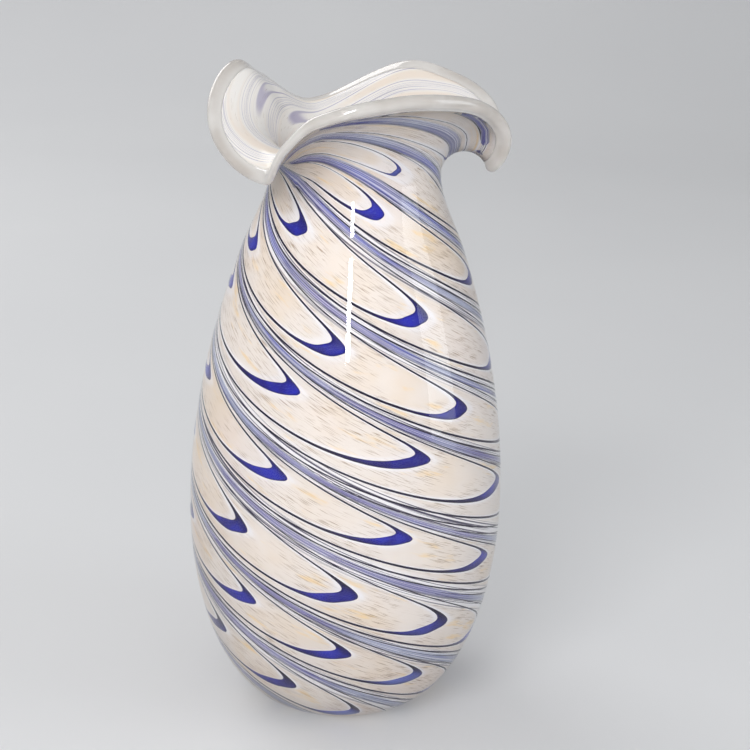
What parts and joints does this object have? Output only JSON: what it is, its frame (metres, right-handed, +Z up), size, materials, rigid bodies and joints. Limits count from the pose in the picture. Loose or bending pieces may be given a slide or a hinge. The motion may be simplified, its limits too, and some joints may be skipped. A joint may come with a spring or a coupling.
{
  "type": "art glass vase",
  "caption": "Tall pear-shaped blown glass vase with a flared three-lobed ruffled lip and combed cobalt feather threads spiralling over an ivory ground.",
  "frame": {"origin": "centre of the flat foot, on the surface that the vase stands on", "axes": "+Z up along the axis of the body, -Y towards the front, +X to the right seen from the front"},
  "size_m": [0.1444, 0.1444, 0.2924],
  "materials": {
    "opal_white": "glossy opaque white opal glass",
    "ivory_ground": "opaque ivory glass with fine tan frit dashes and amber tints",
    "cobalt_thread": "deep cobalt glass thread, darker where it is drawn thin",
    "lilac_streak": "drawn blue-grey and white glass threads",
    "clear_casing": "clear fire-polished glass",
    "clear_rim": "clear fire-polished glass bead",
    "ground_glass": "ground and softly polished glass"
  },
  "bodies": {
    "root": {"opal_lining": "opal_white", "ivory_ground": "ivory_ground", "cobalt_feathers": "cobalt_thread", "lilac_streaks": "lilac_streak", "clear_casing": "clear_casing", "rim_bead": "clear_rim", "pontil_button": "ground_glass"}
  },
  "joints": []
}
